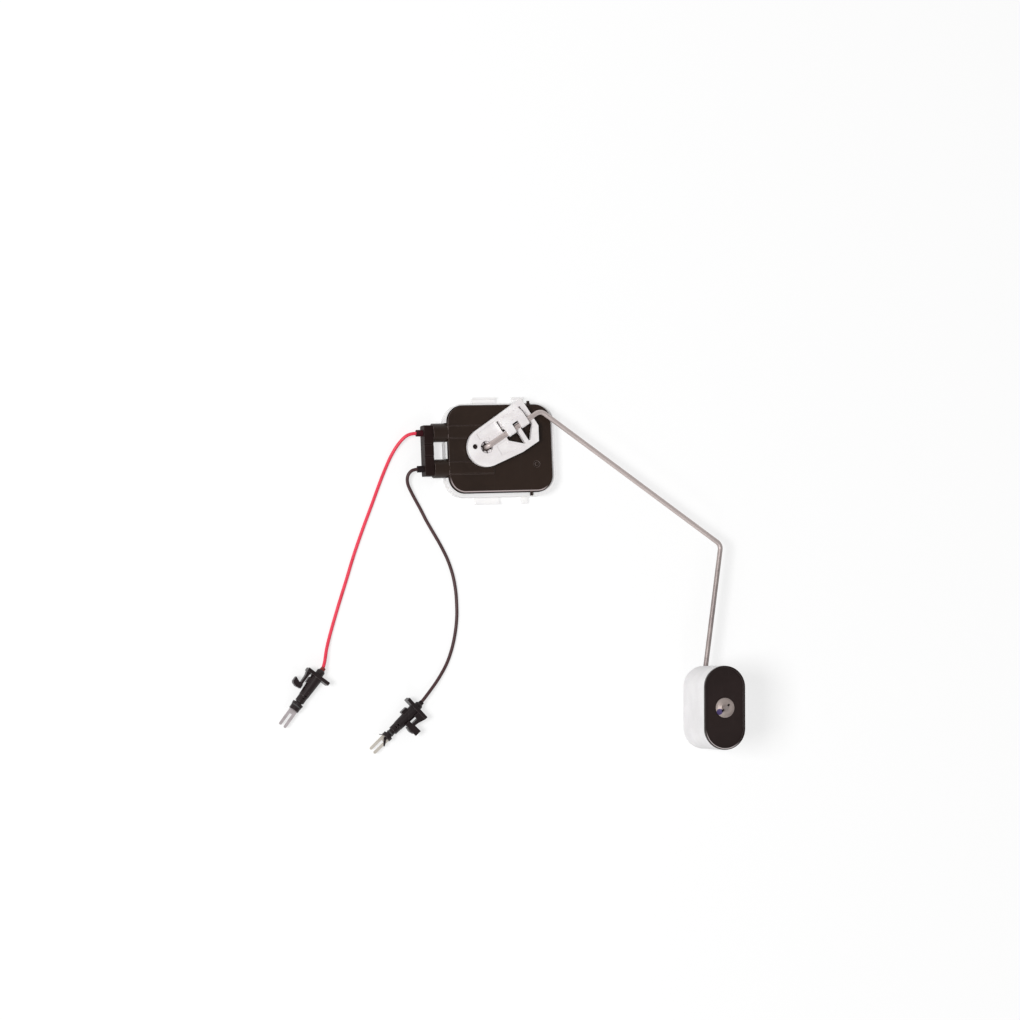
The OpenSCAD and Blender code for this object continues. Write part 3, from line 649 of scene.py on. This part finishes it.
@dataclass(frozen=True)
class Rubber(Finish):
    """A dull moulded rubber."""

    roughness: float = 0.7
    spread: float = 0.2
    specular: float = 0.25
    grain: float = 4200.0
    grain_depth: float = 0.02 * MM

    def build(self) -> bpy.types.Material:
        """Builds the rubber's material.

        Returns:
            The new material.
        """
        surface = Surface(self.name)
        grain = surface.grain(self.grain, self.roughness, self.spread)
        colour = surface.nodes.mix(grain.outputs["Grain"], rgba(self.dark), rgba(self.light))
        surface.set(Base_Color=colour, Specular_IOR_Level=self.specular)
        surface.bump(grain.outputs["Height"], self.grain_depth)
        return surface.material


@dataclass(frozen=True)
class Insulation(Finish):
    """The smooth extruded skin of a lead, with faint wavering gloss."""

    roughness: float = 0.32
    spread: float = 0.3
    specular: float = 0.4
    grain: float = 1500.0
    grain_depth: float = 0.012 * MM
    patch: float = 110.0

    def build(self) -> bpy.types.Material:
        """Builds the skin's material.

        Returns:
            The new material.
        """
        surface = Surface(self.name)
        grain = surface.grain(self.grain, self.roughness, self.spread)
        clouds = surface.effect(Effect.CLOUDS, Scale=self.patch, Stretch=1.0)
        share = surface.nodes.math("MULTIPLY", grain.outputs["Grain"], clouds.outputs["Mask"])
        colour = surface.nodes.mix(share, rgba(self.light), rgba(self.dark))
        surface.set(Base_Color=colour, Specular_IOR_Level=self.specular)
        surface.bump(grain.outputs["Height"], self.grain_depth)
        return surface.material


@dataclass(frozen=True)
class Metal(Finish):
    """A bare or tinned metal, with fine scratches and a slightly uneven shine."""

    roughness: float = 0.35
    spread: float = 0.3
    metallic: float = 1.0
    grain: float = 3000.0
    grain_depth: float = 0.008 * MM
    scratch: float = 1800.0
    scratched: float = 0.3
    scratch_share: float = 0.5
    patch: float = 140.0
    patch_stretch: float = 0.5

    def surface(self) -> tuple[Surface, bpy.types.NodeSocket]:
        """Builds the metal's surface up to its colour.

        Returns:
            The surface, and the socket with its colour.
        """
        surface = Surface(self.name)
        grain = surface.grain(self.grain, self.roughness, self.spread)
        clouds = surface.effect(Effect.CLOUDS, Scale=self.patch, Stretch=self.patch_stretch)
        scuffs = surface.effect(Effect.SCUFFS, Scale=self.scratch, Amount=self.scratched)
        tone = surface.nodes.mix(clouds.outputs["Mask"], rgba(self.dark), rgba(self.light))
        worn = surface.nodes.math("MULTIPLY", scuffs.outputs["Mask"], self.scratch_share)
        colour = surface.nodes.mix(worn, tone, rgba(self.light))
        surface.set(Metallic=self.metallic)
        surface.bump(grain.outputs["Height"], self.grain_depth)
        return surface, colour

    def build(self) -> bpy.types.Material:
        """Builds the metal's material.

        Returns:
            The new material.
        """
        surface, colour = self.surface()
        surface.set(Base_Color=colour)
        return surface.material


@dataclass(frozen=True)
class InkedMetal(Metal):
    """A metal with a dab of marking ink on it."""

    ink: Colour = (0.020, 0.004, 0.10)
    ink_at: Pair = (0.0, 0.0)
    ink_radius: float = 1.5 * MM
    ink_ragged: float = 0.9
    ink_cover: float = 0.95

    def build(self) -> bpy.types.Material:
        """Builds the metal's material with the dab over its colour and shine.

        Returns:
            The new material.
        """
        surface, colour = self.surface()
        left, low = self.ink_at
        spot = surface.effect(
            Effect.SPOT, X=left, Y=low, Radius=self.ink_radius, Ragged=self.ink_ragged
        )
        cover = surface.nodes.math("MULTIPLY", spot.outputs["Mask"], self.ink_cover)
        bare = surface.nodes.math("SUBTRACT", 1.0, cover)
        surface.set(Base_Color=surface.nodes.mix(cover, colour, rgba(self.ink)))
        surface.set(Metallic=surface.nodes.math("MULTIPLY", bare, self.metallic))
        return surface.material


@dataclass(frozen=True)
class DrawnWire(Metal):
    """A drawn wire with painted light along the leg that lies in the lever's clip.

    The painted light fades out round the second bend, between two places along Y.
    """

    painted_light_colour: Colour = (0.60, 0.52, 0.50)
    painted_light_share: float = 0.85
    bend: Pair = (-66.0 * MM, -44.0 * MM)

    def build(self) -> bpy.types.Material:
        """Builds the wire's material, with the painted light ending at the second bend.

        Returns:
            The new material.
        """
        surface, colour = self.surface()
        # Painted light: the leg on the housing's side of the second bend is mixed towards a lighter tone.
        along = surface.nodes.axes(surface.nodes.place())["Y"]
        level = surface.nodes.remap(along, *self.bend)
        share = surface.nodes.math("MULTIPLY", level, self.painted_light_share)
        surface.set(Base_Color=surface.nodes.mix(share, colour, rgba(self.painted_light_colour)))
        return surface.material


BUILT: dict[str, bpy.types.Material] = {}


def dress(node: str, finish: Finish) -> None:
    """Gives a node of the model its finish, whose material is built once for all its nodes.

    Args:
        node: The node's name.
        finish: The finish that it gets.
    """
    if finish.name not in BUILT:
        BUILT[finish.name] = finish.build()
    material = BUILT[finish.name]
    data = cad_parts[node].data
    data.materials.clear()
    data.materials.append(material)
    LOG.info("%s: %s", node, finish.name)


# The black plastics below carry a painted highlight on their rounded edges.
COVER_BLACK = RimmedPlastic(
    "cover_black", (0.0255, 0.0135, 0.0085), (0.0185, 0.0095, 0.0058), roughness=0.4, specular=0.26,
    scuff_colour=(0.045, 0.034, 0.030), scuffed=0.08, edge_highlight_colour=(0.27, 0.21, 0.20), edge_highlight_share=0.6,
)
RETAINER_BLACK = MouldedPlastic(
    "retainer_black", (0.0205, 0.0105, 0.0090), (0.0140, 0.0070, 0.0060), roughness=0.5, specular=0.09,
    scuff_colour=(0.045, 0.034, 0.030), scuffed=0.08, edge_highlight_colour=(0.20, 0.15, 0.15), edge_highlight_share=0.25,
)
PLUG_BLACK = MouldedPlastic(
    "plug_black", (0.0180, 0.0100, 0.0108), (0.0095, 0.0052, 0.0058), roughness=0.36, specular=0.3,
    scuff_colour=(0.06, 0.05, 0.05), scuffed=0.12, edge_highlight_colour=(0.16, 0.13, 0.13), edge_highlight_share=0.3,
)
TRAY_WHITE = TrayPlastic(
    "tray_white", (0.965, 0.955, 0.95), (0.92, 0.905, 0.90), roughness=0.5, subsurface=0.15,
    scuffed=0.06, scuff_colour=(0.85, 0.84, 0.84),
)
LEVER_WHITE = MouldedPlastic(
    "lever_white", (0.99, 0.965, 0.96), (0.83, 0.785, 0.79), roughness=0.42, grain=1800.0,
    grain_depth=0.02 * MM, patch=120.0, scuffed=0.08, scuff_colour=(0.75, 0.72, 0.71), subsurface=0.12,
)
FLOAT_WHITE = MouldedPlastic(
    "float_white", (0.89, 0.875, 0.88), (0.79, 0.775, 0.78), roughness=0.6, grain=1500.0,
    grain_depth=0.03 * MM, patch=75.0, scuffed=0.1, scuff_colour=(0.70, 0.69, 0.70), subsurface=0.15,
)
LID_BLACK = RimmedPlastic(
    "lid_black", (0.0205, 0.0115, 0.0105), (0.0150, 0.0080, 0.0072), roughness=0.38, specular=0.26,
    scuff_colour=(0.045, 0.036, 0.034), scuffed=0.08, edge_highlight_colour=(0.30, 0.25, 0.25), edge_highlight_share=0.08,
    highlight_line_colour=(0.62, 0.55, 0.55), highlight_line_inset=(0.46 * MM, 0.78 * MM),
    face=PlateArea(
        (106.86 * MM, -144.69 * MM), (10.6 * MM, 10.6 * MM), 10.6 * MM, (48.0 * MM, 48.6 * MM)
    ),
)
SEAL_GREY = Rubber("seal_grey", (0.09, 0.085, 0.085), (0.05, 0.047, 0.047))
RED_SEAL = Rubber("red_seal", (0.060, 0.008, 0.012), (0.035, 0.005, 0.008), specular=0.15)
BLACK_SEAL = Rubber("black_seal", (0.019, 0.011, 0.012), (0.011, 0.007, 0.008), specular=0.15)
COLLAR_RED = Rubber("collar_red", (0.28, 0.035, 0.030), (0.16, 0.018, 0.016))
RED_SKIN = Insulation("red_skin", (0.86, 0.048, 0.095), (0.72, 0.030, 0.062), roughness=0.38)
BLACK_SKIN = Insulation(
    "black_skin", (0.074, 0.036, 0.037), (0.049, 0.024, 0.025), roughness=0.42, specular=0.25
)
DRAWN_STEEL = DrawnWire(
    "drawn_steel", (0.35, 0.30, 0.285), (0.27, 0.225, 0.22), roughness=0.48, metallic=0.6
)
TIN = Metal("tin_plate", (0.71, 0.645, 0.66), (0.56, 0.50, 0.51), roughness=0.36, metallic=0.7)
WARM_TIN = Metal(
    "warm_tin_plate", (0.93, 0.87, 0.79), (0.78, 0.72, 0.64), roughness=0.36, metallic=0.7
)
BRASS = Metal("terminal_brass", (0.72, 0.65, 0.50), (0.58, 0.52, 0.40), roughness=0.35)
COMB_FOIL = Metal("comb_foil", (0.60, 0.60, 0.62), (0.48, 0.48, 0.50), roughness=0.3)
MAGNET = Rubber(
    "magnet_plating", (0.020, 0.012, 0.011), (0.014, 0.009, 0.008), roughness=0.5, specular=0.2
)
CERAMIC = MouldedPlastic(
    "fired_ceramic", (0.84, 0.82, 0.76), (0.78, 0.76, 0.70), roughness=0.7, scuffed=0.0
)
FILM = MouldedPlastic("amber_film", (0.62, 0.44, 0.18), (0.52, 0.36, 0.14), roughness=0.4, scuffed=0.0)


@dataclass
class Housing:
    """The sealed housing: tray, cover, retainer, and what lies inside."""

    finishes: dict[str, Finish] = field(default_factory=lambda: {
        "back_tray": TRAY_WHITE,
        "front_cover": COVER_BLACK,
        "terminal_retainer": RETAINER_BLACK,
        "cover_seal": SEAL_GREY,
        "ceramic_substrate": CERAMIC,
        "comb_spacer": FILM,
        "contact_comb": COMB_FOIL,
        "red_terminal": BRASS,
        "black_terminal": BRASS,
        "red_wire_seal": RED_SEAL,
        "black_wire_seal": BLACK_SEAL,
    })

    def build(self) -> None:
        """Dresses the housing's nodes."""
        for node, finish in self.finishes.items():
            dress(node, finish)


@dataclass
class Lead:
    """One lead: its route in millimetres, its skin and the pieces of the plug at its end."""

    name: str
    node: str
    route: tuple[Point, ...]
    skin: Insulation
    plug: tuple[str, ...]
    diameter: float = 1.7 * MM
    exit_index: int = 1
    spans: int = 8
    roundness: int = 6

    def line(self) -> list[Vector]:
        """Runs a smooth curve through the route's points.

        Returns:
            The curve's points, in metres.
        """
        route = [Vector(p) * MM for p in self.route]
        points = []
        for i in range(len(route) - 1):
            before, here = route[max(i - 1, 0)], route[i]
            there, after = route[i + 1], route[min(i + 2, len(route) - 1)]
            for step in range(self.spans):
                t = step / self.spans
                bend = (there - before) * t + (2 * before - 5 * here + 4 * there - after) * t**2
                bend += (3 * here - before - 3 * there + after) * t**3
                points.append(here + bend / 2)
        points.append(route[-1])
        return points

    def length(self) -> float:
        """Measures the lead along its line, in metres."""
        line = self.line()
        return sum((b - a).length for a, b in zip(line, line[1:]))

    def build(self) -> None:
        line = self.line()
        curve = bpy.data.curves.new(self.name, "CURVE")
        curve.dimensions = "3D"
        curve.bevel_depth = self.diameter / 2
        curve.bevel_resolution = self.roundness
        curve.use_fill_caps = True
        spline = curve.splines.new("POLY")
        spline.points.add(len(line) - 1)
        for slot, point in zip(spline.points, line):
            slot.co = (*point, 1.0)
        spline.use_smooth = True
        piece = bpy.data.objects.new(self.name, curve)
        bpy.context.scene.collection.objects.link(piece)
        curve.materials.append(self.skin.build())
        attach(piece, "housing")
        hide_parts(self.node)
        self.length()
        LOG.info("%s: %.1f mm long", self.name, self.length() / MM)


@dataclass
class Plug:
    """One plug: its body, the seal at its collar, the ring on its nose and its fork."""

    colour: str
    seal: Finish
    tin: Finish

    def nodes(self) -> tuple[str, ...]:
        """Names the plug's nodes."""
        parts = ("plug_body", "plug_seal", "plug_ring", "fork")
        return tuple(f"{self.colour}_{part}" for part in parts)

    def build(self) -> None:
        """Dresses the plug's nodes."""
        for node, finish in zip(self.nodes(), (PLUG_BLACK, self.seal, SEAL_GREY, self.tin)):
            dress(node, finish)


@dataclass
class Arm:
    """The lever with its magnet, the rod and the push nut."""

    nut_at: Pair = (107.3 * MM, -134.5 * MM)
    ink_offset: Pair = (-3.2 * MM, -1.9 * MM)

    def nut_finish(self) -> InkedMetal:
        """Gives the nut's plating, with the dab of ink at its lower left."""
        at = (self.nut_at[0] + self.ink_offset[0], self.nut_at[1] + self.ink_offset[1])
        return InkedMetal(
            "nut_plating", (0.48, 0.41, 0.385), (0.34, 0.285, 0.265), roughness=0.55, ink_at=at
        )

    def build(self) -> None:
        """Dresses the arm's nodes."""
        dress("lever", LEVER_WHITE)
        dress("magnet", MAGNET)
        dress("float_rod", DRAWN_STEEL)
        dress("push_nut", self.nut_finish())


@dataclass
class Float:
    """The float: its white shell and its black lid."""

    def build(self) -> None:
        """Dresses the float's nodes."""
        dress("float_body", FLOAT_WHITE)
        dress("float_lid", LID_BLACK)


@dataclass
class PhotoCamera:
    """The photograph's camera: its place and lens in millimetres, its turns in degrees."""

    place: Point = (-388.96, -101.81, 1370.83)
    swing: float = 16.273
    tip: float = 3.491
    roll: float = 2.347
    lens: float = 100.0
    sensor: float = 36.0
    reach: Pair = (0.05, 20.0)

    def build(self) -> None:
        """Makes the camera and sets it as the scene's own."""
        data = bpy.data.cameras.new("photo_camera")
        data.lens = self.lens
        data.sensor_width = self.sensor
        data.sensor_fit = "HORIZONTAL"
        data.clip_start, data.clip_end = self.reach
        camera = bpy.data.objects.new("photo_camera", data)
        bpy.context.scene.collection.objects.link(camera)
        turn = Matrix.Rotation(math.radians(-self.roll), 4, "Z")
        turn @= Matrix.Rotation(math.radians(-self.swing), 4, "Y")
        turn @= Matrix.Rotation(math.radians(self.tip), 4, "X")
        camera.matrix_world = Matrix.Translation(Vector(self.place) * MM) @ turn
        bpy.context.scene.camera = camera


@dataclass
class Lamp:
    """A soft square lamp that looks at the part."""

    name: str
    place: Point
    size: float
    power: float
    target: Point = (0.02, -0.06, 0.0)

    def build(self) -> None:
        """Makes the lamp."""
        data = bpy.data.lights.new(self.name, "AREA")
        data.shape = "SQUARE"
        data.size = self.size
        data.energy = self.power
        lamp = bpy.data.objects.new(self.name, data)
        lamp.location = self.place
        lamp.rotation_mode = "QUATERNION"
        lamp.rotation_quaternion = (Vector(self.target) - Vector(self.place)).to_track_quat("-Z", "Y")
        bpy.context.scene.collection.objects.link(lamp)


@dataclass
class Studio:
    """The pale floor, the lamps and the light all round, in metres and watts."""

    floor_size: float = 8.0
    floor_drop: float = 0.02 * MM
    floor_roughness: float = 0.9
    floor_colour: Colour = (0.90, 0.90, 0.90)
    floor_shown: Colour = (0.38, 0.38, 0.38)
    floor_glow: float = 0.65
    around: float = 0.42
    ceiling: float = 0.40
    horizon: Pair = (0.15, 0.75)
    lamps: tuple[Lamp, ...] = (
        Lamp("key_lamp", (-1.50, -0.12, 2.12), 0.72, 41.5),
        Lamp("edge_lamp", (-0.25, -1.35, 0.95), 0.22, 1.4),
    )

    @staticmethod
    def seen(tree: NodeTree) -> bpy.types.NodeSocket:
        """Gives 1 for rays from the camera, and for what metal and glass show of the background."""
        path = tree.add("ShaderNodeLightPath")
        seen = tree.math("MAXIMUM", path.outputs["Is Camera Ray"], path.outputs["Is Glossy Ray"])
        return tree.math("MAXIMUM", seen, path.outputs["Is Transmission Ray"])

    def _floor(self) -> None:
        """Lays the floor under the housing's back face."""
        mesh = bpy.data.meshes.new("floor")
        half = self.floor_size / 2
        corners = [(-half, -half, 0.0), (half, -half, 0.0), (half, half, 0.0), (-half, half, 0.0)]
        mesh.from_pydata(corners, [], [(0, 1, 2, 3)])
        floor = bpy.data.objects.new("floor", mesh)
        floor.location.z = -self.floor_drop
        bpy.context.scene.collection.objects.link(floor)
        surface = Surface("pale_floor")
        seen = self.seen(surface.nodes)
        colour = surface.nodes.mix(seen, rgba(self.floor_colour), rgba(self.floor_shown))
        glow = surface.nodes.math("MULTIPLY", seen, self.floor_glow)
        surface.set(Base_Color=colour, Roughness=self.floor_roughness, Specular_IOR_Level=0.0)
        surface.set(Emission_Color=rgba(WHITE), Emission_Strength=glow)
        mesh.materials.append(surface.material)

    def _world(self) -> None:
        """Lights the part softly from all round.

        The camera sees white. A shiny surface sees white low down and a dimmer ceiling overhead.
        """
        world = bpy.data.worlds.new("studio")
        world.use_nodes = True
        bpy.context.scene.world = world
        tree = NodeTree(world.node_tree)
        background = world.node_tree.nodes["Background"]
        path = tree.add("ShaderNodeLightPath")
        height = tree.axes(tree.add("ShaderNodeTexCoord").outputs["Generated"])["Z"]
        overhead = tree.remap(height, *self.horizon)
        dimmed = tree.math("MULTIPLY", overhead, 1.0 - self.ceiling)
        mirrored = tree.math("SUBTRACT", 1.0 - self.around, dimmed)
        shiny = tree.math("MAXIMUM", path.outputs["Is Glossy Ray"], path.outputs["Is Transmission Ray"])
        extra = tree.math("MULTIPLY", path.outputs["Is Camera Ray"], 1.0 - self.around)
        extra = tree.math("ADD", extra, tree.math("MULTIPLY", shiny, mirrored))
        tree.feed(background, "Color", rgba(WHITE))
        tree.link(tree.math("ADD", extra, self.around), background.inputs["Strength"])

    def build(self) -> None:
        """Makes the floor, the world and the lamps."""
        bpy.context.scene.view_settings.view_transform = "Standard"
        self._floor()
        self._world()
        for lamp in self.lamps:
            lamp.build()


RED_ROUTE: tuple[Point, ...] = (
    (-31.3, 8.1, 4.8), (-34.3, 8.1, 4.8),
    (-38.8, 7.1, 4.3), (-42.8, 3.3, 2.8), (-46.7, -2.8, 1.4), (-50.6, -10.9, 0.9),
    (-53.9, -18.5, 0.9), (-57.0, -26.0, 0.9), (-62.4, -38.8, 0.9), (-67.4, -51.5, 0.9),
    (-71.9, -64.3, 0.9), (-76.5, -77.2, 0.9), (-80.7, -89.6, 1.1), (-83.2, -97.6, 2.0),
    (-84.6, -103.6, 3.0), (-86.0, -107.7, 3.4), (-87.2, -109.2, 3.4),
)
BLACK_ROUTE: tuple[Point, ...] = (
    (-31.3, -9.9, 4.8), (-34.3, -9.9, 4.8),
    (-37.3, -10.7, 4.6), (-39.1, -13.2, 3.9), (-39.0, -16.8, 2.8), (-36.9, -21.4, 1.7),
    (-32.4, -29.8, 0.9), (-29.6, -35.6, 0.9), (-26.3, -41.6, 0.9), (-22.7, -48.2, 0.9),
    (-19.4, -55.4, 0.9), (-17.1, -62.9, 0.9), (-15.9, -70.4, 0.9), (-15.6, -77.3, 0.9),
    (-15.8, -84.1, 0.9), (-16.8, -91.4, 0.9), (-18.8, -99.4, 0.9), (-21.9, -107.0, 1.2),
    (-26.3, -113.9, 2.0), (-31.4, -120.2, 3.0), (-36.4, -125.9, 3.4), (-38.0, -127.4, 3.4),
)


def main() -> None:
    """Builds the camera, the leads, the finishes and the studio, and notes the sizes."""
    logging.basicConfig(level=logging.INFO, format="%(name)s %(message)s")
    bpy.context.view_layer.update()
    PhotoCamera().build()
    red_plug, black_plug = Plug("red", COLLAR_RED, TIN), Plug("black", BLACK_SEAL, WARM_TIN)
    Lead("red_lead_wire", "red_lead", RED_ROUTE, RED_SKIN, red_plug.nodes()).build()
    Lead("black_lead_wire", "black_lead", BLACK_ROUTE, BLACK_SKIN, black_plug.nodes()).build()
    for part in (Housing(), red_plug, black_plug, Arm(), Float(), Studio()):
        part.build()
        LOG.info("built %s", type(part).__name__)


if __name__ == "__main__":
    main()
